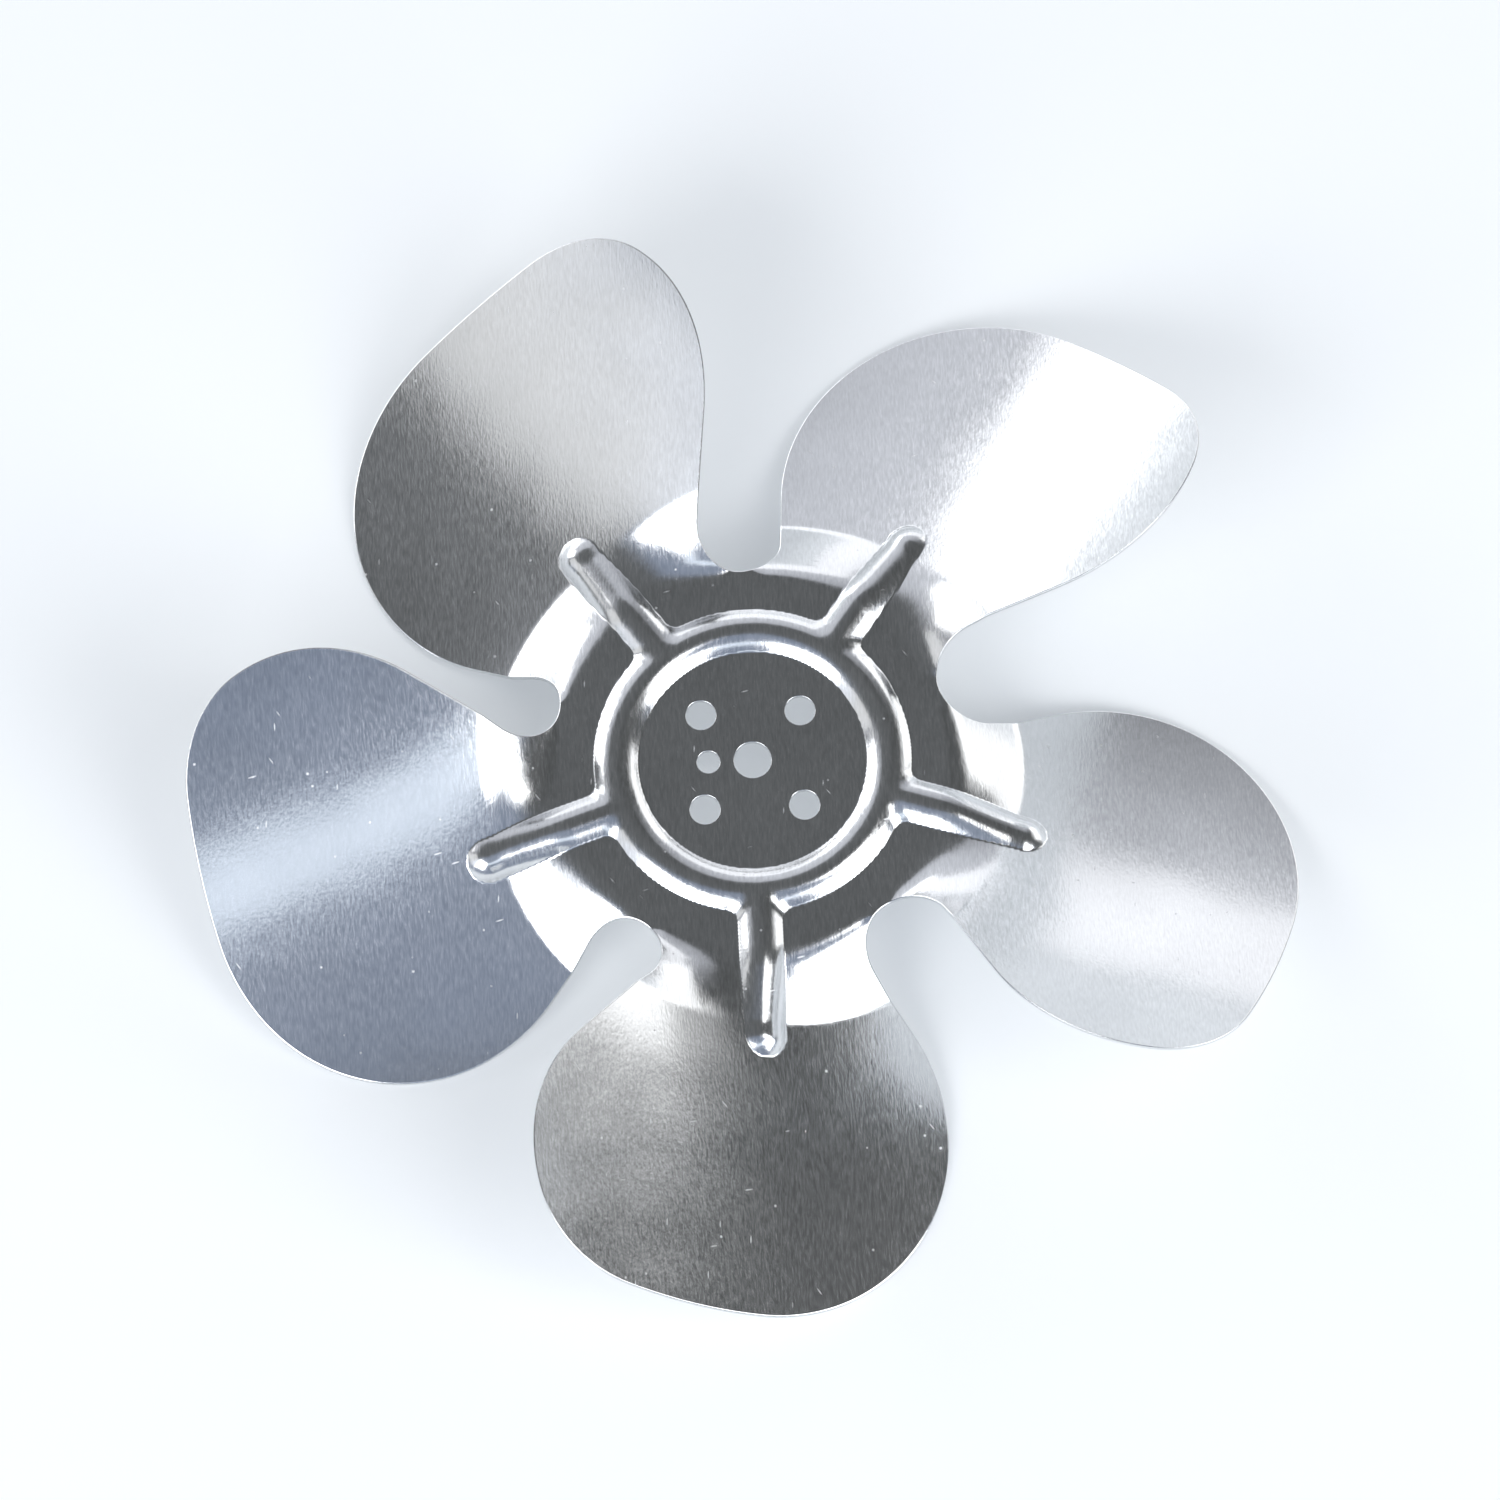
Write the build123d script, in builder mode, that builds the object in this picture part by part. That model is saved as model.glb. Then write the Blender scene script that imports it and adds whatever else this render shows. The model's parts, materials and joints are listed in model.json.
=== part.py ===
"""Refrigerator fan blade: a five-blade axial fan pressed from one aluminium sheet.

The shaft axis is Z and the origin is the centre of the bore, on the underside of the hub disc.
Each blade is drawn with its rib along +X: its low, leading edge lies on the +Y side and its
high, trailing edge on the -Y side. The finished fan has one rib along -Y.
"""

import os
from math import asin, atan, cos, degrees, radians, sin, sqrt, tan

from build123d import *

# Sheet and overall size, in millimetres and degrees
blade_count = 5
sheet = 1.0
tip_radius = 101.6
rib_heading = -90

# Holes in the hub disc
bore_radius = 3.4
bolt_circle = 25.4
bolt_count = 4
bolt_hole_radius = 2.75
locating_offset = 8.0
locating_hole_radius = 2.1

# Embossed bead, the same section for the ring and the ribs
ring_radius = 24.7
bead_half_width = 4.05
bead_height = 1.9
hollow_crest_half_width = 1.3
hollow_ease = 0.15

# Arms: flat outside the ring, a steep web down to the crease, and a rib that runs past it
rim_flat = 8.25
web_length = 11.8
rib_overrun = 1.95

# Blade surface: a slice of a cylinder whose axis follows the rib and droops towards the tip
root_drop = 3.0
droop = 4.3
pitch = 26.6
camber_radius = 154.0

# Blade outline in plan: round reliefs between the arms, straight edges, round corners
notch_radius = 7.4
notch_bite = 0.6
notch_lead = 0.8
leading_edge_angle = 32.8
leading_corner_angle = -1.8
trailing_edge_angle = 43.7
trailing_corner_angle = -14.8
trailing_corner_radius = 19.7
flank_turn = 103.4

# Sizes that follow from the ones above
sector = 360 / blade_count
arm_margin = 3
arm_half_angle = sector / 2 - arm_margin
hub_radius = ring_radius + bead_half_width + rim_flat
crease_radius = hub_radius + web_length
notch_floor = hub_radius - notch_bite
bead_sink = sheet / 2
bead_flank = degrees(atan(2 * bead_height / bead_half_width))
blade_reach = tip_radius * sin(radians(arm_half_angle))

# Plane across the blade at the crease, and the same plane turned to the blade's pitch
blade_axis = Vector(cos(radians(droop)), 0, -sin(radians(droop)))
root_plane = Plane(origin=(crease_radius, 0, sheet - root_drop), x_dir=(0, 1, 0), z_dir=blade_axis)
down_slope = root_plane.x_dir * cos(radians(pitch)) - root_plane.y_dir * sin(radians(pitch))
crease_plane = Plane(origin=root_plane.origin, x_dir=down_slope, z_dir=blade_axis)


def polar(radius, angle):
    """Point in plan at a radius from the shaft and an angle from the rib."""
    return Vector(radius, 0).rotate(Axis.Z, angle)


def petal_outline():
    """One blade with its share of the hub, in plan, every stretch tangent to the next."""
    leading_notch_angle = notch_lead + sector / 2
    trailing_notch_angle = notch_lead - sector / 2
    leading_floor = polar(notch_floor, leading_notch_angle)
    trailing_floor = polar(notch_floor, trailing_notch_angle)

    # Straight leading edge, then a corner that touches it and the tip circle
    inward = polar(1, leading_edge_angle - 90)
    leading_in = polar(notch_floor + notch_radius, leading_notch_angle) + inward * notch_radius
    toward_tip = polar(1, leading_corner_angle)
    lean = inward.dot(toward_tip)
    leading_radius = (lean * tip_radius - inward.dot(leading_in)) / (1 + lean)
    leading_centre = toward_tip * (tip_radius - leading_radius)
    leading_out = leading_centre - inward * leading_radius

    # Straight trailing edge, then a flank that touches it and the trailing corner
    inward = polar(1, 90 - trailing_edge_angle)
    trailing_in = polar(notch_floor + notch_radius, trailing_notch_angle) + inward * notch_radius
    corner_centre = polar(tip_radius - trailing_corner_radius, trailing_corner_angle)
    toward_flank = polar(1, flank_turn)
    lean = inward.dot(toward_flank)
    corner_depth = inward.dot(corner_centre - trailing_in)
    flank_radius = (corner_depth - trailing_corner_radius * lean) / (1 - lean)
    flank_centre = corner_centre + toward_flank * (flank_radius - trailing_corner_radius)
    trailing_out = flank_centre - inward * flank_radius

    tip_start = polar(tip_radius, leading_corner_angle)
    tip_end = polar(tip_radius, trailing_corner_angle)
    flank_start = corner_centre - toward_flank * trailing_corner_radius
    with BuildSketch() as petal:
        with BuildLine():
            TangentArc(leading_floor, leading_in, tangent=polar(1, leading_notch_angle - 90))
            leading_edge = Line(leading_in, leading_out)
            corner = TangentArc(leading_out, tip_start, tangent=leading_edge % 1)
            tip = TangentArc(tip_start, tip_end, tangent=corner % 1)
            corner = TangentArc(tip_end, flank_start, tangent=tip % 1)
            TangentArc(flank_start, trailing_out, tangent=corner % 1)
            trailing_edge = Line(trailing_out, trailing_in)
            TangentArc(trailing_in, trailing_floor, tangent=trailing_edge % 1)
            Polyline(trailing_floor, (0, 0), leading_floor)
        make_face()
    return petal.sketch


def sector_block(inner_radius, outer_radius, bottom, top):
    """Upright block between two radii, as wide as one arm."""
    with BuildPart() as block:
        with BuildSketch(Plane.XZ):
            with BuildLine():
                Polyline(
                    (inner_radius, bottom),
                    (outer_radius, bottom),
                    (outer_radius, top),
                    (inner_radius, top),
                    close=True,
                )
            make_face()
        revolve(axis=Axis.Z, revolution_arc=2 * arm_half_angle)
    return block.part.rotate(Axis.Z, -arm_half_angle)


def face_on_cylinder(part, radius):
    """The face of a part that lies on an upright cylinder round the shaft."""
    return part.faces().filter_by(GeomType.CYLINDER).sort_by(lambda face: abs(face.radius - radius))[0]


def bead_section():
    """Bead over the sheet's face: a parabola, run on below the face so that it joins the sheet."""
    reach = bead_half_width * sqrt(1 + bead_sink / bead_height)
    with BuildSketch() as section:
        with BuildLine():
            Bezier((-reach, -bead_sink), (0, 2 * bead_height + bead_sink), (reach, -bead_sink))
            Line((reach, -bead_sink), (-reach, -bead_sink))
        make_face()
    return section.sketch


def hollow_section():
    """Hollow under the bead: a trapezium that leaves a wall about as thick as the sheet."""
    foot = bead_half_width - sheet * tan(radians(bead_flank / 2))
    crest = bead_height - hollow_ease
    reach = foot + bead_sink * (foot - hollow_crest_half_width) / crest
    with BuildSketch() as section:
        with BuildLine():
            Polyline(
                (-reach, -sheet - bead_sink),
                (-hollow_crest_half_width, crest - sheet),
                (hollow_crest_half_width, crest - sheet),
                (reach, -sheet - bead_sink),
                close=True,
            )
        make_face()
    return section.sketch


def rib(section):
    """Rib from the ring to its round nose: level on the hub, then turning with the arm."""
    level_run = hub_radius - ring_radius
    blade_run = rib_overrun / cos(radians(droop))
    ring_plane = Plane(origin=(ring_radius, 0, sheet), x_dir=(0, 1, 0), z_dir=(1, 0, 0))
    nose_plane = crease_plane.offset(blade_run)
    with BuildPart() as bar:
        with BuildSketch(ring_plane):
            add(section)
        extrude(amount=level_run)
        with BuildSketch(ring_plane.offset(level_run), crease_plane):
            add(section)
        loft(ruled=True)
        with BuildSketch(crease_plane):
            add(section)
        extrude(amount=blade_run)
        with BuildSketch(nose_plane):
            add(section)
            split(bisect_by=Plane.YZ)
        revolve(axis=Axis(nose_plane.origin, nose_plane.y_dir))
    return bar.part


# Hub disc with its ring bead, still solid under the bead
with BuildPart() as hub:
    with BuildSketch(Plane.XZ):
        with BuildLine():
            inner_foot = (ring_radius - bead_half_width, sheet)
            outer_foot = (ring_radius + bead_half_width, sheet)
            Bezier(inner_foot, (ring_radius, sheet + 2 * bead_height), outer_foot)
            Polyline(outer_foot, (hub_radius, sheet), (hub_radius, 0), (0, 0), (0, sheet), inner_foot)
        make_face()
    revolve(axis=Axis.Z)

# Pitched blade from the crease outwards, before its outline is cut
camber_centre = Vector(sin(radians(pitch)), cos(radians(pitch))) * camber_radius
low_slope = degrees(asin(sin(radians(pitch)) - blade_reach / camber_radius))
high_slope = degrees(asin(sin(radians(pitch)) + blade_reach / camber_radius))
with BuildPart() as blade:
    with BuildSketch(root_plane):
        with BuildLine():
            start, turn = -90 - high_slope, high_slope - low_slope
            front = CenterArc(camber_centre, camber_radius, start, turn)
            back = CenterArc(camber_centre, camber_radius + sheet, start, turn)
            Line(front @ 0, back @ 0)
            Line(front @ 1, back @ 1)
        make_face()
    extrude(amount=tip_radius, both=True)
    add(sector_block(crease_radius, 2 * tip_radius, -tip_radius, tip_radius), mode=Mode.INTERSECT)

# Web of an arm: straight lines from the rim of the hub to the crease
rim = sector_block(ring_radius, hub_radius, 0, sheet)
with BuildPart() as web:
    loft([face_on_cylinder(rim, hub_radius), face_on_cylinder(blade.part, crease_radius)], ruled=True)

# The fan: hub, arms and blades in one sheet, then the hollow beads, the outline and the holes
hollow = hollow_section()
rib_cap = rib(bead_section())
rib_hollow = rib(hollow)
petal = petal_outline()
with BuildPart() as fan_blade:
    add(hub.part)
    with PolarLocations(0, blade_count, start_angle=rib_heading):
        add(web.part)
        add(blade.part)
        add(rib_cap)
    with BuildSketch(Plane.XZ.shift_origin((ring_radius, 0, sheet))):
        add(hollow)
    revolve(axis=Axis.Z, mode=Mode.SUBTRACT)
    with PolarLocations(0, blade_count, start_angle=rib_heading):
        add(rib_hollow, mode=Mode.SUBTRACT)
    with BuildSketch(Plane.XY.offset(-tip_radius)):
        with PolarLocations(0, blade_count, start_angle=rib_heading):
            add(petal)
    extrude(amount=2 * tip_radius, mode=Mode.INTERSECT)
    with Locations((0, 0, sheet)):
        Hole(bore_radius)
    with Locations((-locating_offset, 0, sheet)):
        Hole(locating_hole_radius)
    with Locations((0, 0, sheet)):
        with PolarLocations(bolt_circle / 2, bolt_count, start_angle=180 / bolt_count):
            Hole(bolt_hole_radius)

os.makedirs("parts", exist_ok=True)
fan_blade.part.label = "fan_blade"
export_step(fan_blade.part, "parts/fan_blade.step")
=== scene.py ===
"""Looks of the fan blade: one pressed aluminium sheet with soft bends, on a pale studio floor.

The sheet is one fine mesh. Its form comes from the same sizes as the solid that it stands for: a flat
hub disc, webs that ramp to the blades, blades that are slices of a cylinder, and parabolic beads.
Its lengths are in millimetres and angles in degrees up to the point where the mesh is made; the
studio round it is in metres.
"""

import json
from math import atan2, cos, hypot, pi, radians, sin, sqrt, tan

import bpy
import numpy as np
from mathutils import Matrix, Vector
from mathutils.geometry import delaunay_2d_cdt


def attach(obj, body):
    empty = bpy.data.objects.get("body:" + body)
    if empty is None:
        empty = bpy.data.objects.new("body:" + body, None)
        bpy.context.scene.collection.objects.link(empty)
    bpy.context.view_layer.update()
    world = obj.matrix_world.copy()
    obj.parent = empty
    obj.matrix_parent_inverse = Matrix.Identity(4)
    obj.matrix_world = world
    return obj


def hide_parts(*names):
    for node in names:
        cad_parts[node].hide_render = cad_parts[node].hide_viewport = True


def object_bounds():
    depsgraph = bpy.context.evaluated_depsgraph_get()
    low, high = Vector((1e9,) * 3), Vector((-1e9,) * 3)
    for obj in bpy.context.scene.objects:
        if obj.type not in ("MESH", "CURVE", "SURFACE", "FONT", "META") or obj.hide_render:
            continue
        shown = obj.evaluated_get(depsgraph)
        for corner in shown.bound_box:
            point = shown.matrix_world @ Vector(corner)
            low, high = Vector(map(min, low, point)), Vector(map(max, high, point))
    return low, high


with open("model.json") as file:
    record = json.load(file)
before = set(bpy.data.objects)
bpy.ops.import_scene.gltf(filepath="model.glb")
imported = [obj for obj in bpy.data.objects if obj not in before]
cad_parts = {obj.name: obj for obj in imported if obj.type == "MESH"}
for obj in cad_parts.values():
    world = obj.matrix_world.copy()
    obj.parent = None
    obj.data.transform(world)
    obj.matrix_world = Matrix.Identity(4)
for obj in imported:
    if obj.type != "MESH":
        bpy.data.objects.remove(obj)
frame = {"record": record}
cad_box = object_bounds()
MM = 0.001

# Holes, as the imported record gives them
mounts = {mount["name"]: mount["dims"] for mount in frame["record"]["mounts"]}
BORE_RADIUS = mounts["bore"]["r_mm"]
BOLT_CIRCLE = mounts["bolts"]["pcd_mm"]
BOLT_COUNT = mounts["bolts"]["count"]
BOLT_HOLE_RADIUS = mounts["bolts"]["hole_r_mm"]
LOCATING_OFFSET = 8.0
LOCATING_HOLE_RADIUS = 2.1

# Sheet, bead and blade sizes, as in the solid
BLADE_COUNT = 5
SHEET = mounts["bore"]["length_mm"]
TIP_RADIUS = 101.6
RIB_HEADING = -90
RING_RADIUS = 24.7
BEAD_HALF_WIDTH = 4.05
BEAD_HEIGHT = 1.9
RIM_FLAT = 8.25
WEB_LENGTH = 11.8
RIB_OVERRUN = 1.95
ROOT_DROP = 3.0
DROOP = 4.3
PITCH = 26.6
CAMBER_RADIUS = 154.0

# Outline in plan, as in the solid
NOTCH_RADIUS = 7.4
NOTCH_BITE = 0.6
NOTCH_LEAD = 0.8
LEADING_EDGE_ANGLE = 32.8
LEADING_CORNER_ANGLE = -1.8
TRAILING_EDGE_ANGLE = 43.7
TRAILING_CORNER_ANGLE = -14.8
TRAILING_CORNER_RADIUS = 19.7
FLANK_TURN = 103.4

# Softness of the pressed form: half lengths of the bends, spring of the blade past the crease, and
# roundness of the beads and the cut edges; the bend at the rim tightens next to a notch
HUB_BEND = 2.2
NOTCH_BEND = 0.3
NOTCH_BEND_ANGLE = 0.5
NOTCH_BEND_FADE = 7
CREASE_BEND = 0.8
SPRING_SHARE = 0.12
SPRING_REACH = 12.0
FOOT_ROUND = 0.12
JUNCTION_ROUND = 2.2
RING_HOLD = 8
EDGE_ROUND = 0.28
HOLE_ROUND = 0.12
UPRIGHT_RIM = 2.5
CAMBER_LIMIT = 0.98

# Spacing of the mesh on the outline, the beads, the creases, the arms and the blades, where each
# spacing holds, and how far the points keep from a cut edge as a share of their spacing
OUTLINE_STEP = 0.8
FOOT_STEP = 0.4
BEAD_STEP = 0.7
CREASE_STEP = 0.55
ARM_STEP = 1.0
BLADE_STEP = 1.7
FOOT_INNER = 0.8
FOOT_OUTER = 1.22
CREASE_MARGIN = 1.6
ARM_REACH = 57.0
EDGE_CLEARANCE = 0.5
HOLE_POINTS = 48
MERGE_DISTANCE = 1e-6
NORMAL_STEP = 0.02

# Sizes that follow from the ones above
SECTOR = 360 / BLADE_COUNT
HUB_RADIUS = RING_RADIUS + BEAD_HALF_WIDTH + RIM_FLAT
CREASE_RADIUS = HUB_RADIUS + WEB_LENGTH
NOSE_RADIUS = CREASE_RADIUS + RIB_OVERRUN
NOTCH_FLOOR = HUB_RADIUS - NOTCH_BITE


def polar(radius, angle):
    """Point in plan at a radius from the shaft and an angle."""
    return np.array((radius * cos(radians(angle)), radius * sin(radians(angle))))


def arc_points(centre, start, end, turn):
    """Points along an arc from start to end; turn is 1 for counter-clockwise and -1 for clockwise."""
    first, last = start - centre, end - centre
    begin = atan2(first[1], first[0])
    sweep = (turn * (atan2(last[1], last[0]) - begin)) % (2 * pi)
    radius = hypot(*first)
    count = max(3, round(radius * sweep / OUTLINE_STEP))
    angles = begin + turn * sweep * np.arange(count) / count
    return centre + radius * np.stack((np.cos(angles), np.sin(angles)), axis=1)


def line_points(start, end):
    """Points along a straight stretch of the outline, without its end."""
    count = max(2, round(hypot(*(end - start)) / OUTLINE_STEP))
    return start + (end - start) * (np.arange(count) / count)[:, None]


def petal_outline():
    """Plan outline of one blade with its rib along +X, from one notch floor to the other."""
    leading_notch = polar(NOTCH_FLOOR + NOTCH_RADIUS, NOTCH_LEAD + SECTOR / 2)
    trailing_notch = polar(NOTCH_FLOOR + NOTCH_RADIUS, NOTCH_LEAD - SECTOR / 2)

    inward = polar(1, LEADING_EDGE_ANGLE - 90)
    leading_in = leading_notch + inward * NOTCH_RADIUS
    toward_tip = polar(1, LEADING_CORNER_ANGLE)
    lean = inward @ toward_tip
    leading_radius = (lean * TIP_RADIUS - inward @ leading_in) / (1 + lean)
    leading_centre = toward_tip * (TIP_RADIUS - leading_radius)
    leading_out = leading_centre - inward * leading_radius

    inward = polar(1, 90 - TRAILING_EDGE_ANGLE)
    trailing_in = trailing_notch + inward * NOTCH_RADIUS
    corner_centre = polar(TIP_RADIUS - TRAILING_CORNER_RADIUS, TRAILING_CORNER_ANGLE)
    toward_flank = polar(1, FLANK_TURN)
    lean = inward @ toward_flank
    corner_depth = inward @ (corner_centre - trailing_in)
    flank_radius = (corner_depth - TRAILING_CORNER_RADIUS * lean) / (1 - lean)
    flank_centre = corner_centre + toward_flank * (flank_radius - TRAILING_CORNER_RADIUS)
    trailing_out = flank_centre - inward * flank_radius

    leading_floor = polar(NOTCH_FLOOR, NOTCH_LEAD + SECTOR / 2)
    trailing_floor = polar(NOTCH_FLOOR, NOTCH_LEAD - SECTOR / 2)
    tip_start = polar(TIP_RADIUS, LEADING_CORNER_ANGLE)
    tip_end = polar(TIP_RADIUS, TRAILING_CORNER_ANGLE)
    flank_start = corner_centre - toward_flank * TRAILING_CORNER_RADIUS
    return np.concatenate((
        arc_points(leading_notch, leading_floor, leading_in, 1),
        line_points(leading_in, leading_out),
        arc_points(leading_centre, leading_out, tip_start, -1),
        arc_points(np.zeros(2), tip_start, tip_end, -1),
        arc_points(corner_centre, tip_end, flank_start, -1),
        arc_points(flank_centre, flank_start, trailing_out, -1),
        line_points(trailing_out, trailing_in),
        arc_points(trailing_notch, trailing_in, trailing_floor, 1),
    ))


def turned(points, angle):
    """Plan points turned about the shaft."""
    c, s = cos(radians(angle)), sin(radians(angle))
    return points @ np.array(((c, s), (-s, c)))


def smooth(share):
    """A share between 0 and 1, eased at both ends."""
    return share * share * (3 - 2 * share)


def soft_ramp(run, half_length):
    """0 before a bend and the run itself after it, rounded over the bend."""
    inside = (run + half_length) ** 2 / (4 * half_length)
    return np.where(run <= -half_length, 0, np.where(run >= half_length, run, inside))


def blade_height(along, across):
    """Height of the blade's upper face; across is positive towards the low, leading edge."""
    lean = CAMBER_RADIUS * sin(radians(PITCH))
    limit = CAMBER_LIMIT * CAMBER_RADIUS
    reach = np.clip(across - lean, -limit, limit)
    rise = CAMBER_RADIUS * cos(radians(PITCH)) - np.sqrt(CAMBER_RADIUS**2 - reach**2)
    drop = (along - CREASE_RADIUS) * tan(radians(DROOP))
    return SHEET - ROOT_DROP - drop + rise / cos(radians(DROOP))


def rib_frame(x, y):
    """Radius, angle from the nearest rib, and place along and across that rib."""
    radius = np.hypot(x, y)
    angle = np.degrees(np.arctan2(y, x)) - RIB_HEADING - NOTCH_LEAD
    angle = (angle + SECTOR / 2) % SECTOR - SECTOR / 2 + NOTCH_LEAD
    turn = np.radians(angle)
    return radius, angle, radius * np.cos(turn), radius * np.sin(turn)


def sheet_height(x, y):
    """Height of the sheet's upper face without its beads."""
    radius, angle, _, _ = rib_frame(x, y)
    turn = np.radians(angle)
    crease = blade_height(CREASE_RADIUS * np.cos(turn), CREASE_RADIUS * np.sin(turn))
    beyond = blade_height((CREASE_RADIUS + 1) * np.cos(turn), (CREASE_RADIUS + 1) * np.sin(turn))
    fold = (crease - SHEET) / (CREASE_RADIUS - HUB_RADIUS) - (beyond - crease)
    spring = SPRING_SHARE * SPRING_REACH * fold
    slope = (crease - spring - SHEET) / (CREASE_RADIUS - HUB_RADIUS)
    from_notch = SECTOR / 2 - NOTCH_BEND_ANGLE - np.abs(angle - NOTCH_LEAD)
    room = np.clip(from_notch / NOTCH_BEND_FADE, 0, 1)
    bend = NOTCH_BEND + (HUB_BEND - NOTCH_BEND) * smooth(room)
    web = SHEET + slope * soft_ramp(radius - HUB_RADIUS, bend)
    past = CREASE_RADIUS + soft_ramp(radius - CREASE_RADIUS, CREASE_BEND)
    blade = blade_height(past * np.cos(turn), past * np.sin(turn))
    blade -= spring * np.exp((CREASE_RADIUS - past) / SPRING_REACH)
    straight = SHEET + slope * (past - HUB_RADIUS)
    return web + blade - straight


def bead_run(x, y):
    """How far out on the nearest bead a plan point lies: 0 on the crest line, 1 at the foot."""
    radius, _, along, across = rib_frame(x, y)
    tilt = radians(PITCH) * np.clip((along - HUB_RADIUS) / (CREASE_RADIUS - HUB_RADIUS), 0, 1)
    wide = across / np.cos(tilt)
    ahead = np.maximum(along - NOSE_RADIUS, 0) / cos(radians(DROOP))
    behind = RING_HOLD * np.maximum(RING_RADIUS - radius, 0)
    rib = np.sqrt(wide**2 + ahead**2 + behind**2) / BEAD_HALF_WIDTH
    ring = np.abs(radius - RING_RADIUS) / BEAD_HALF_WIDTH
    blend = JUNCTION_ROUND / BEAD_HALF_WIDTH
    meet = np.maximum(blend - np.abs(rib - ring), 0) / blend
    return np.maximum(np.minimum(rib, ring) - meet * meet * blend / 4, 0)


def bead_height(x, y):
    """Height of the ring and rib beads over the sheet: a parabola with a soft foot."""
    return soft_ramp(BEAD_HEIGHT * (1 - bead_run(x, y) ** 2), FOOT_ROUND)


def normals_of(function, x, y):
    """Unit normals of a surface given as a function from plan points to points in space."""
    along_x = function(x + NORMAL_STEP, y) - function(x - NORMAL_STEP, y)
    along_y = function(x, y + NORMAL_STEP) - function(x, y - NORMAL_STEP)
    normal = np.cross(along_x, along_y)
    return normal / np.linalg.norm(normal, axis=1)[:, None]


def plain_sheet(x, y):
    """The upper face without its beads, as points in space."""
    return np.stack((x, y, sheet_height(x, y)), axis=1)


def upper_face(x, y):
    """The upper face with its beads, which stand square to the sheet."""
    return plain_sheet(x, y) + normals_of(plain_sheet, x, y) * bead_height(x, y)[:, None]


def hole_circles():
    """Centre and radius of each hole in the hub disc."""
    circles = [(np.zeros(2), BORE_RADIUS), (np.array((-LOCATING_OFFSET, 0)), LOCATING_HOLE_RADIUS)]
    for index in range(BOLT_COUNT):
        centre = polar(BOLT_CIRCLE / 2, 180 / BOLT_COUNT + index * 360 / BOLT_COUNT)
        circles.append((centre, BOLT_HOLE_RADIUS))
    return circles


def circle_points(centre, radius):
    """Points round a hole."""
    count = max(HOLE_POINTS, round(2 * pi * radius / FOOT_STEP))
    angles = 2 * pi * np.arange(count) / count
    return centre + radius * np.stack((np.cos(angles), np.sin(angles)), axis=1)


def hex_grid(step, reach):
    """Even triangular grid of plan points."""
    rows = np.arange(-reach, reach, step * sqrt(3) / 2)
    columns = np.arange(-reach, reach, step)
    x, y = np.meshgrid(columns, rows)
    x[1::2] += step / 2
    return np.stack((x.ravel(), y.ravel()), axis=1)


def chain_distance(points, chain):
    """Distance of plan points from an open chain of points."""
    nearest = np.full(len(points), np.inf)
    for start, end in zip(chain, chain[1:]):
        run = end - start
        place = np.clip((points - start) @ run / (run @ run), 0, 1)
        gap = points - start - place[:, None] * run
        nearest = np.minimum(nearest, np.hypot(gap[:, 0], gap[:, 1]))
    return nearest


def inside_loop(points, loop):
    """Whether plan points lie inside a closed outline."""
    inside = np.zeros(len(points), bool)
    for start, end in zip(loop, np.roll(loop, -1, axis=0)):
        crosses = (start[1] > points[:, 1]) != (end[1] > points[:, 1])
        if crosses.any():
            at = start[0] + (points[:, 1] - start[1]) * (end[0] - start[0]) / (end[1] - start[1])
            inside ^= crosses & (points[:, 0] < at)
    return inside


def edge_room(points):
    """Distance of plan points from the nearest cut edge, negative outside the sheet."""
    petal = petal_outline()
    petal = np.concatenate((petal, polar(NOTCH_FLOOR, NOTCH_LEAD - SECTOR / 2)[None]))
    _, _, along, across = rib_frame(points[:, 0], points[:, 1])
    local = np.stack((along, across), axis=1)
    room = chain_distance(local, petal)
    room[~inside_loop(local, np.concatenate((petal, np.zeros((1, 2)))))] *= -1
    for centre, radius in hole_circles():
        room = np.minimum(room, np.hypot(*(points - centre).T) - radius)
    return room


def outward_along(loop):
    """Outward directions along a closed outline that has the sheet on its right-hand side."""
    tangent = np.roll(loop, -1, axis=0) - np.roll(loop, 1, axis=0)
    tangent /= np.linalg.norm(tangent, axis=1)[:, None]
    return np.stack((-tangent[:, 1], tangent[:, 0]), axis=1)


def cut_edges():
    """Every cut edge of the sheet in plan, each with the sheet on its right-hand side."""
    petal = petal_outline()
    headings = [RIB_HEADING - index * SECTOR for index in range(BLADE_COUNT)]
    outline = np.concatenate([turned(petal, heading) for heading in headings])
    return [outline] + [circle_points(centre, radius) for centre, radius in hole_circles()]


def grid_points():
    """Plan points inside the sheet: closest at the beads' feet and the creases, widest on the blades."""
    def zone(points):
        radius = np.hypot(*points.T)
        run = bead_run(*points.T)
        step = np.where(radius < ARM_REACH, ARM_STEP, BLADE_STEP)
        bend = np.minimum(np.abs(radius - CREASE_RADIUS), np.abs(radius - HUB_RADIUS) - HUB_BEND / 2)
        step = np.where(bend < CREASE_MARGIN, CREASE_STEP, step)
        step = np.where(run < FOOT_OUTER, FOOT_STEP, step)
        return np.where(run < FOOT_INNER, BEAD_STEP, step)

    chosen = []
    for step in (FOOT_STEP, CREASE_STEP, BEAD_STEP, ARM_STEP, BLADE_STEP):
        points = hex_grid(step, TIP_RADIUS + step)
        points = points[zone(points) == step]
        chosen.append(points[edge_room(points) > EDGE_ROUND + EDGE_CLEARANCE * step])
    return np.concatenate(chosen)


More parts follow.
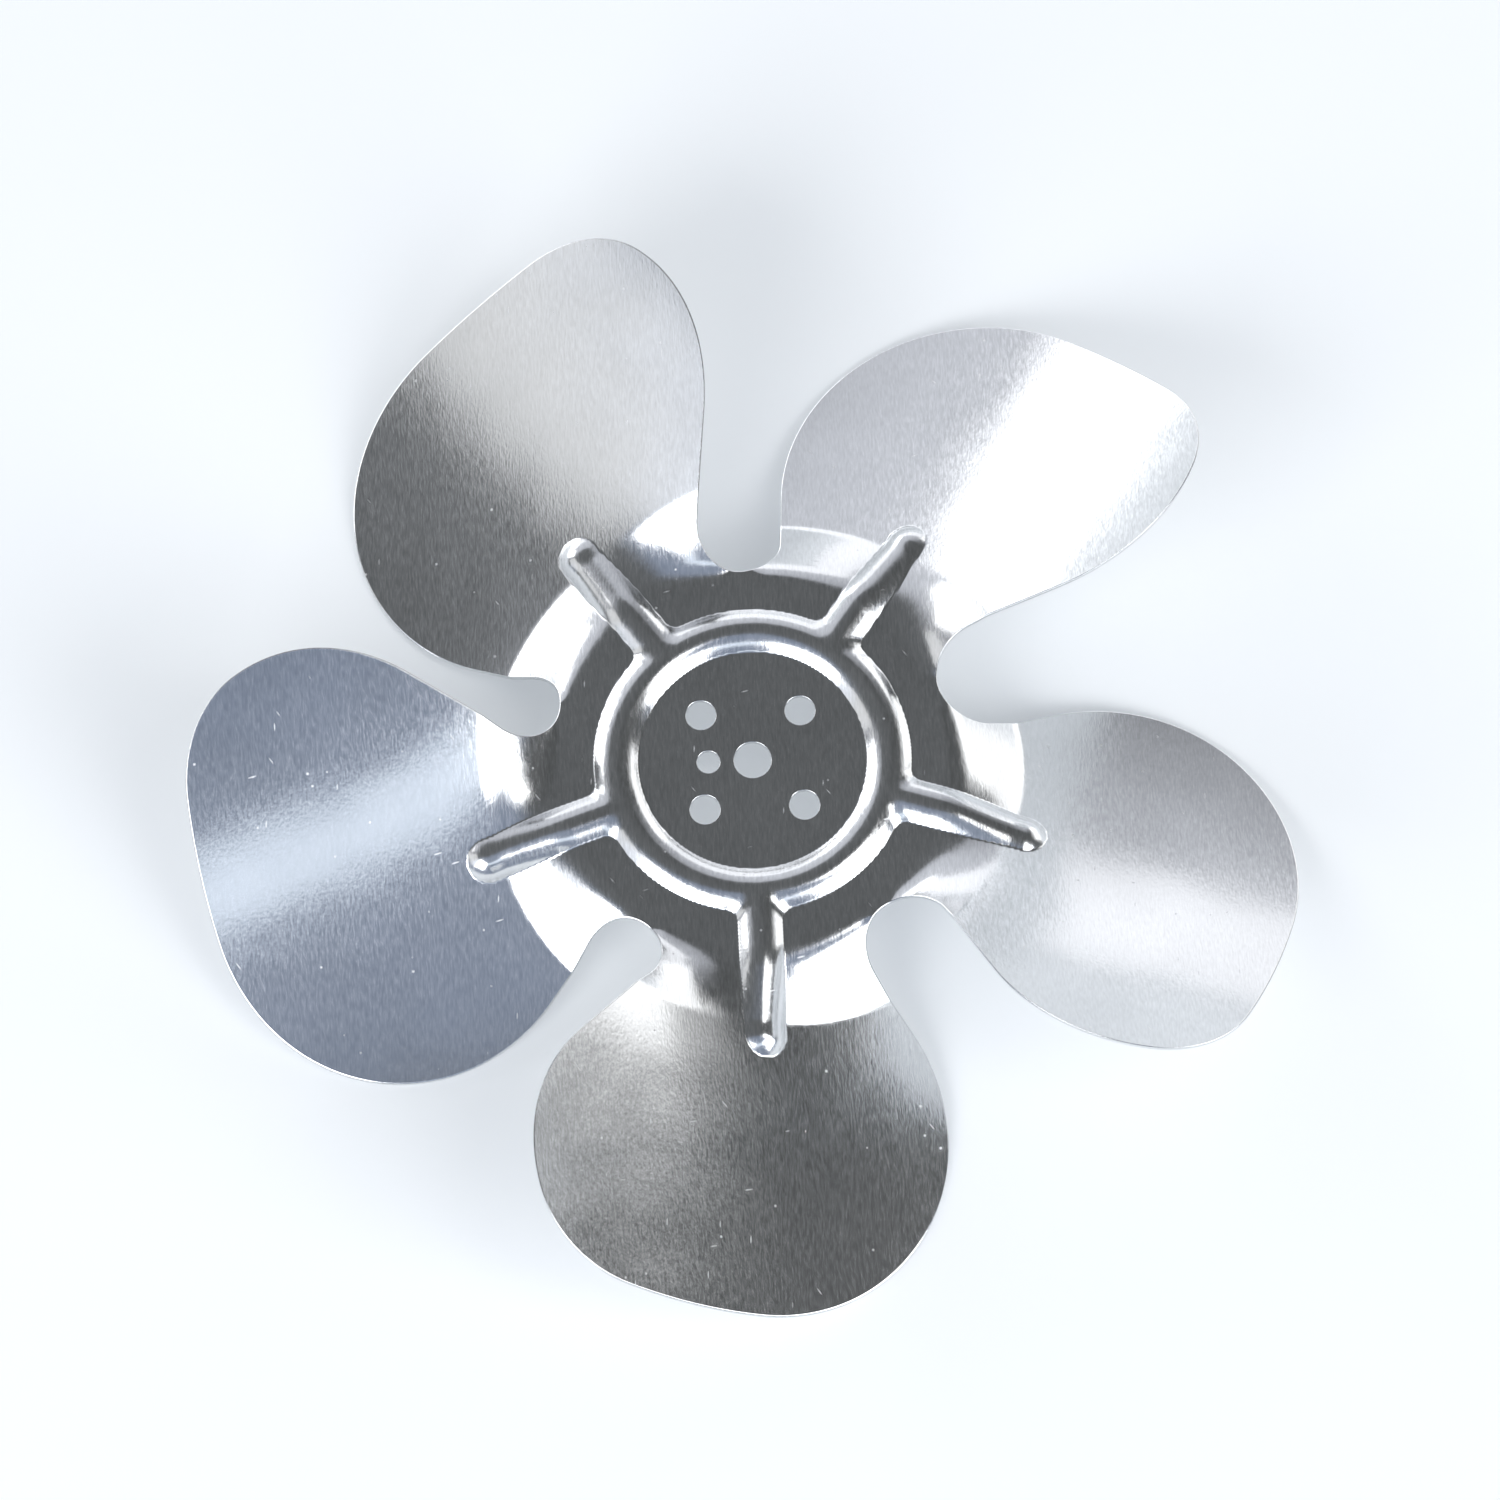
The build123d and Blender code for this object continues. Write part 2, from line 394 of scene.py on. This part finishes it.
def triangulate(loops, inner):
    """Triangles of the sheet in plan, with its rounded edges' inner lines as borders."""
    points = np.concatenate(loops + [inner])
    borders, start = [], 0
    for loop in loops:
        order = np.arange(len(loop))
        borders += np.stack((start + order, start + np.roll(order, -1)), axis=1).tolist()
        start += len(loop)
    vectors = [Vector(point) for point in points]
    _, _, faces, origins, _, _ = delaunay_2d_cdt(vectors, borders, [], 0, MERGE_DISTANCE)
    source = np.array([origin[0] for origin in origins])
    faces = source[np.array(faces)]
    middle = points[faces].mean(axis=1)
    kept = inside_loop(middle, loops[0])
    for hole in loops[1:]:
        kept &= ~inside_loop(middle, hole)
    return points, faces[kept]


def sheet_faces(plan):
    """Upper and lower points of the sheet and the upper normal; the cut edges stand upright."""
    x, y = plan.T
    top = upper_face(x, y)
    normal = normals_of(upper_face, x, y)
    square = smooth(np.clip(edge_room(plan) / UPRIGHT_RIM, 0, 1))[:, None]
    upright = np.array((0, 0, 1)) / normal[:, 2:]
    bottom = top - SHEET * (square * normal + (1 - square) * upright)
    return top, bottom, normal


def edge_rows(loop, outward, rounding):
    """Rows of points round a cut edge, from the upper face to the lower, and their normals."""
    inner = loop - outward * rounding
    top_in, bottom_in = sheet_faces(inner)[:2]
    top, bottom = sheet_faces(loop)[:2]
    up = np.array((0, 0, 1))
    side = np.concatenate((outward, np.zeros((len(loop), 1))), axis=1)
    below, above = top - up * rounding, bottom + up * rounding
    rows = ((top_in + below) / 4 + top / 2, below, above, (bottom_in + above) / 4 + bottom / 2)
    lift = ((up + side) / sqrt(2), side, side, (side - up) / sqrt(2))
    return rows, lift


def sheet_surface():
    """Points, normals and faces of the closed sheet: upper face, lower face and rounded edges."""
    loops = cut_edges()
    outwards = [outward_along(loop) for loop in loops]
    roundings = [EDGE_ROUND] + [HOLE_ROUND] * (len(loops) - 1)
    inner = [loop - outward * rounding for loop, outward, rounding in zip(loops, outwards, roundings)]
    plan, triangles = triangulate(inner, grid_points())
    top, bottom, normal = sheet_faces(plan)
    count = len(plan)
    points, normals = [top, bottom], [normal, -normal]
    faces = triangles.tolist() + (triangles[:, ::-1] + count).tolist()
    first, free = 0, 2 * count
    for loop, outward, rounding in zip(loops, outwards, roundings):
        size = len(loop)
        rows, lifts = edge_rows(loop, outward, rounding)
        starts = [first] + [free + size * index for index in range(len(rows))] + [first + count]
        for upper, lower in zip(starts, starts[1:]):
            for here in range(size):
                after = (here + 1) % size
                faces.append((upper + here, upper + after, lower + after, lower + here))
        points += rows
        normals += [np.broadcast_to(lift, rows[0].shape) for lift in lifts]
        first, free = first + size, free + size * len(rows)
    return np.concatenate(points), np.concatenate(normals), faces


def build_sheet():
    """The fan as one closed mesh with soft bends, hollow beads and rounded edges."""
    points, normals, faces = sheet_surface()
    mesh = bpy.data.meshes.new("fan_blade_sheet")
    mesh.from_pydata((points * MM).tolist(), [], faces)
    mesh.validate()
    mesh.shade_smooth()
    mesh.normals_split_custom_set_from_vertices(normals.tolist())
    plan_map = mesh.uv_layers.new(name="plan")
    corners = np.array([loop.vertex_index for loop in mesh.loops])
    flat = points[corners, :2] / (2 * TIP_RADIUS) + 0.5
    plan_map.data.foreach_set("uv", flat.astype(np.float32).ravel())
    sheet = bpy.data.objects.new("fan_blade_sheet", mesh)
    bpy.context.scene.collection.objects.link(sheet)
    return sheet


# Finish of the sheet: rolled aluminium, with a grain along Y; texture scales are per millimetre, and each
# span of a pattern's values stands for a span of tint or roughness
METAL_COLOUR = (0.765, 0.775, 0.785)
GRAIN_ANISOTROPY = 0.25
GRAIN_ACROSS = 3.2
GRAIN_ALONG = 0.55
GRAIN_DETAIL = 2.0
GRAIN_SPAN = (0.25, 0.75)
GRAIN_TINT = (0.91, 1.07)
GRAIN_ROUGHNESS = (0.135, 0.235)
GRAIN_RELIEF = 0.011
SPARKLE_SCALE = 1.9
SPARKLE_STRETCH = 0.6
CLOUD_SCALE = 0.05
CLOUD_SPAN = (0.3, 0.7)
CLOUD_TINT = (0.95, 1.03)
CLOUD_RELIEF = 0.2

# Marks of handling: scales across and along the mark, heading, share of the cells that hold one, and
# half width in a cell
SPECKS = (0.30, 0.30, 0, 0.32, 0.09)
LONG_MARKS = (0.55, 0.10, 4, 0.25, 0.08)
CROSS_MARKS = (0.45, 0.08, 76, 0.22, 0.07)
ASKEW_MARKS = (0.50, 0.07, -38, 0.22, 0.06)
MARK_CORE = 0.3
MARK_ROUGHNESS = 0.42

# Studio, in metres: the floor lies under the lowest blade edge, and glows by itself as far as the eye and
# the metal see it; each wall is named with where it starts and where it is full, along the look direction
FLOOR_COLOUR = (0.94, 0.96, 0.965)
FLOOR_GLOW = (0.87, 0.93, 1.0)
FLOOR_GLOW_SHARE = 0.24
FLOOR_REACH = 12.0
ROOM_DARK = (0.099, 0.103, 0.105)
BACK_WALL = (0.56, 0.575, 0.63)
BACK_HEADING = 110
BACK_WALL_DEPTH = (0.20, 0.85)
BACK_WALL_TOP = (0.79, 0.70)
FRONT_WALL = (0.13, 0.17, 0.26)
FRONT_WALL_DEPTH = (-0.05, -0.35)
LEFT_WALL = (0.04, 0.042, 0.045)
LEFT_WALL_DEPTH = (0.40, -0.20)
SOFTBOX_DISTANCE = 2.5

# Camera, as the photograph was taken
CAMERA_DISTANCE = 1171.6
CAMERA_HEADING = 0.743
CAMERA_TILT = 18.423
CAMERA_ROLL = -3.496
PICTURE_SCALE = 5.538
PICTURE_SIZE = 1500
PICTURE_CENTRE = (752.6, 759.8)
SENSOR = 36.0


def add_node(tree, kind, inputs=None, **settings):
    """New shader node: settings are its own properties, inputs its sockets' values or incoming links."""
    made = tree.nodes.new("ShaderNode" + kind)
    for name, value in settings.items():
        setattr(made, name, value)
    for socket, value in (inputs or {}).items():
        if isinstance(value, bpy.types.NodeSocket):
            tree.links.new(value, made.inputs[socket])
        else:
            made.inputs[socket].default_value = value
    return made


def arithmetic(tree, operation, first, second, third=0.0):
    """Output of a sum, product or the like of two or three numbers or sockets."""
    inputs = {0: first, 1: second, 2: third}
    return add_node(tree, "Math", inputs, operation=operation).outputs[0]


def map_range(tree, value, source, target):
    """A value carried from one span to another, and held at the ends of that span."""
    inputs = {"Value": value, "From Min": source[0], "From Max": source[1],
              "To Min": target[0], "To Max": target[1]}
    return add_node(tree, "MapRange", inputs).outputs["Result"]


def stretched(tree, place, scale, heading=0.0):
    """Places on the sheet, scaled along X, Y and Z per millimetre after a turn about the shaft."""
    turn = {"Vector": place, "Angle": radians(heading)}
    turned_place = add_node(tree, "VectorRotate", turn, rotation_type="Z_AXIS").outputs[0]
    factors = tuple(value / MM for value in scale)
    return add_node(tree, "VectorMath", {0: turned_place, 1: factors}, operation="MULTIPLY").outputs[0]


def noise(tree, place, scale, detail=1.0):
    """Cloudy pattern between 0 and 1, at the given scales per millimetre."""
    where = stretched(tree, place, scale)
    return add_node(tree, "TexNoise", {"Vector": where, "Scale": 1.0, "Detail": detail}).outputs["Fac"]


def strokes(tree, place, across, along, heading, share, width):
    """Scattered short strokes: one in some cells of a stretched grid, 1 on the stroke and 0 off it."""
    where = stretched(tree, place, (across, along, along), heading)
    cells = add_node(tree, "TexVoronoi", {"Vector": where, "Scale": 1.0}, feature="F1")
    near = map_range(tree, cells.outputs["Distance"], (width, MARK_CORE * width), (0, 1))
    pick = add_node(tree, "SeparateColor", {0: cells.outputs["Color"]}).outputs[0]
    chosen = arithmetic(tree, "LESS_THAN", pick, share)
    return arithmetic(tree, "MULTIPLY", near, chosen)


def scratches(tree, place):
    """Specks and short scratches of handling, at several headings."""
    marks = strokes(tree, place, *SPECKS)
    for kind in (LONG_MARKS, CROSS_MARKS, ASKEW_MARKS):
        marks = arithmetic(tree, "MAXIMUM", marks, strokes(tree, place, *kind))
    return marks


def metal_material():
    """Rolled aluminium: fine grain and sparkle, faint clouds, and the marks of handling."""
    material = bpy.data.materials.new("rolled_aluminium")
    material.use_nodes = True
    tree = material.node_tree
    shader = tree.nodes["Principled BSDF"]
    place = add_node(tree, "TexCoord").outputs["Object"]
    grain = noise(tree, place, (GRAIN_ACROSS, GRAIN_ALONG, GRAIN_ALONG), GRAIN_DETAIL)
    sparkle = noise(tree, place, (SPARKLE_SCALE, SPARKLE_STRETCH * SPARKLE_SCALE, SPARKLE_SCALE))
    cloud = noise(tree, place, (CLOUD_SCALE, CLOUD_SCALE, CLOUD_SCALE))
    marks = scratches(tree, place)

    tint = map_range(tree, cloud, CLOUD_SPAN, CLOUD_TINT)
    tint = arithmetic(tree, "MULTIPLY", tint, map_range(tree, grain, GRAIN_SPAN, GRAIN_TINT))
    colour = add_node(tree, "VectorMath", {0: METAL_COLOUR, 1: tint}, operation="MULTIPLY")
    tree.links.new(colour.outputs[0], shader.inputs["Base Color"])

    rough = map_range(tree, grain, GRAIN_SPAN, GRAIN_ROUGHNESS)
    rough = arithmetic(tree, "MULTIPLY_ADD", marks, MARK_ROUGHNESS, rough)
    tree.links.new(rough, shader.inputs["Roughness"])

    fine = arithmetic(tree, "ADD", grain, sparkle)
    waves = {"Strength": 1.0, "Distance": CLOUD_RELIEF * MM, "Height": cloud}
    wavy = add_node(tree, "Bump", waves).outputs[0]
    relief = {"Strength": 1.0, "Distance": GRAIN_RELIEF * MM, "Height": fine, "Normal": wavy}
    tree.links.new(add_node(tree, "Bump", relief).outputs[0], shader.inputs["Normal"])

    lie = add_node(tree, "Tangent", direction_type="UV_MAP", uv_map="plan")
    tree.links.new(lie.outputs["Tangent"], shader.inputs["Tangent"])
    shader.inputs["Metallic"].default_value = 1.0
    shader.inputs["Anisotropic"].default_value = GRAIN_ANISOTROPY
    return material


def floor_material():
    """Pale matt floor that looks white to the eye and in the metal, and keeps the shadow."""
    material = bpy.data.materials.new("pale_floor")
    material.use_nodes = True
    tree = material.node_tree
    tree.nodes.clear()
    matt = add_node(tree, "BsdfDiffuse", {"Color": (*FLOOR_COLOUR, 1)})
    glow = add_node(tree, "Emission", {"Color": (*FLOOR_GLOW, 1), "Strength": 1.0})
    path = add_node(tree, "LightPath").outputs
    seen = arithmetic(tree, "MAXIMUM", path["Is Glossy Ray"], path["Is Transmission Ray"])
    seen = arithmetic(tree, "MAXIMUM", path["Is Camera Ray"], seen)
    share = arithmetic(tree, "MULTIPLY", seen, FLOOR_GLOW_SHARE)
    mix = add_node(tree, "MixShader", {"Fac": share, 1: matt.outputs[0], 2: glow.outputs[0]})
    add_node(tree, "OutputMaterial", {"Surface": mix.outputs[0]})
    return material


def add_floor():
    """Large flat floor under the fan."""
    level = cad_box[0][2]
    corners = [(x * FLOOR_REACH, y * FLOOR_REACH, level) for x, y in ((-1, -1), (1, -1), (1, 1), (-1, 1))]
    mesh = bpy.data.meshes.new("floor")
    mesh.from_pydata(corners, [], [(0, 1, 2, 3)])
    mesh.materials.append(floor_material())
    floor = bpy.data.objects.new("floor", mesh)
    bpy.context.scene.collection.objects.link(floor)


def toward(heading, elevation):
    """Direction from the hub at a heading about the shaft and an elevation over the floor."""
    return Vector((*(polar(1, heading) * cos(radians(elevation))), sin(radians(elevation))))


def soft_step(tree, value, start, end):
    """0 up to the start, 1 from the end on, and smooth between them."""
    inputs = {"Value": value, "From Min": start, "From Max": end}
    return add_node(tree, "MapRange", inputs, interpolation_type="SMOOTHSTEP").outputs["Result"]


def light_room():
    """Room that is dark overhead, with a pale wall behind and dim ones in front and at the left."""
    world = bpy.data.worlds.new("studio")
    world.use_nodes = True
    tree = world.node_tree
    place = add_node(tree, "TexCoord").outputs["Generated"]
    look = add_node(tree, "SeparateXYZ", {0: place}).outputs
    back = (cos(radians(BACK_HEADING)), sin(radians(BACK_HEADING)), 0)
    depth = add_node(tree, "VectorMath", {0: place, 1: back}, operation="DOT_PRODUCT").outputs["Value"]
    behind = soft_step(tree, depth, *BACK_WALL_DEPTH)
    behind = arithmetic(tree, "MULTIPLY", behind, soft_step(tree, look["Z"], *BACK_WALL_TOP))
    in_front = soft_step(tree, look["Y"], *FRONT_WALL_DEPTH)
    at_left = soft_step(tree, look["X"], *LEFT_WALL_DEPTH)
    colour = ROOM_DARK
    for wall, share in ((BACK_WALL, behind), (FRONT_WALL, in_front), (LEFT_WALL, at_left)):
        inputs = {0: wall, 1: share, 2: colour}
        colour = add_node(tree, "VectorMath", inputs, operation="MULTIPLY_ADD").outputs[0]
    tree.links.new(colour, tree.nodes["Background"].inputs["Color"])
    bpy.context.scene.world = world


def add_softbox(name, heading, elevation, width, height, brightness, colour=(1, 1, 1)):
    """Soft panel lamp that faces the hub, its width and height as angles seen from there.

    A brightness of 1 shows as white in a perfect mirror.
    """
    lamp = bpy.data.lights.new(name, "AREA")
    lamp.shape = "RECTANGLE"
    lamp.size = 2 * SOFTBOX_DISTANCE * tan(radians(width / 2))
    lamp.size_y = 2 * SOFTBOX_DISTANCE * tan(radians(height / 2))
    lamp.energy = brightness * pi * lamp.size * lamp.size_y
    lamp.color = colour
    softbox = bpy.data.objects.new(name, lamp)
    softbox.location = toward(heading, elevation) * SOFTBOX_DISTANCE
    softbox.rotation_euler = toward(heading, elevation).to_track_quat("Z", "Y").to_euler()
    softbox.visible_camera = False
    bpy.context.scene.collection.objects.link(softbox)


def add_lamps():
    """Softboxes round the fan, low at the back and higher at the front, and a cool window in front."""
    add_softbox("right_softbox", 20.5, 28, 18, 14, 0.5)
    add_softbox("right_low_softbox", 11.5, 13, 7, 26, 0.42)
    add_softbox("back_right_softbox", 35, 12, 42, 28, 1.35)
    add_softbox("back_softbox", 84.5, 9.2, 55, 22.5, 0.63)
    add_softbox("back_left_softbox", 124.5, 7.5, 23, 23, 2.0)
    add_softbox("corner_softbox", 150, 15, 27, 34, 2.0)
    add_softbox("left_softbox", 192, 25, 36, 30, 0.72)
    add_softbox("front_left_softbox", 230, 34, 36, 34, 4.9)
    add_softbox("front_right_softbox", 322, 31, 38, 40, 3.8)
    add_softbox("front_right_upper_softbox", 335, 62, 14, 18, 3.6)
    add_softbox("front_window", 278, 45, 24, 10, 0.80, (0.85, 0.93, 1))


def add_camera():
    """Camera at the photograph's place, angle and framing."""
    lens = bpy.data.cameras.new("camera")
    lens.sensor_width = SENSOR
    lens.lens = SENSOR * PICTURE_SCALE * CAMERA_DISTANCE / PICTURE_SIZE
    lens.shift_x = 0.5 - PICTURE_CENTRE[0] / PICTURE_SIZE
    lens.shift_y = PICTURE_CENTRE[1] / PICTURE_SIZE - 0.5
    camera = bpy.data.objects.new("camera", lens)
    turn = Matrix.Rotation(radians(CAMERA_HEADING), 4, "Z")
    turn = turn @ Matrix.Rotation(radians(CAMERA_TILT), 4, "X")
    turn = turn @ Matrix.Rotation(radians(CAMERA_ROLL), 4, "Z")
    stand = turn @ Vector((0, 0, CAMERA_DISTANCE * MM)) + Vector((0, 0, SHEET * MM))
    camera.matrix_world = Matrix.Translation(stand) @ turn
    bpy.context.scene.collection.objects.link(camera)
    bpy.context.scene.camera = camera


sheet = build_sheet()
sheet.data.materials.append(metal_material())
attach(sheet, "root")
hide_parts("fan_blade")
add_floor()
light_room()
add_lamps()
add_camera()
bpy.context.scene.view_settings.view_transform = "Standard"
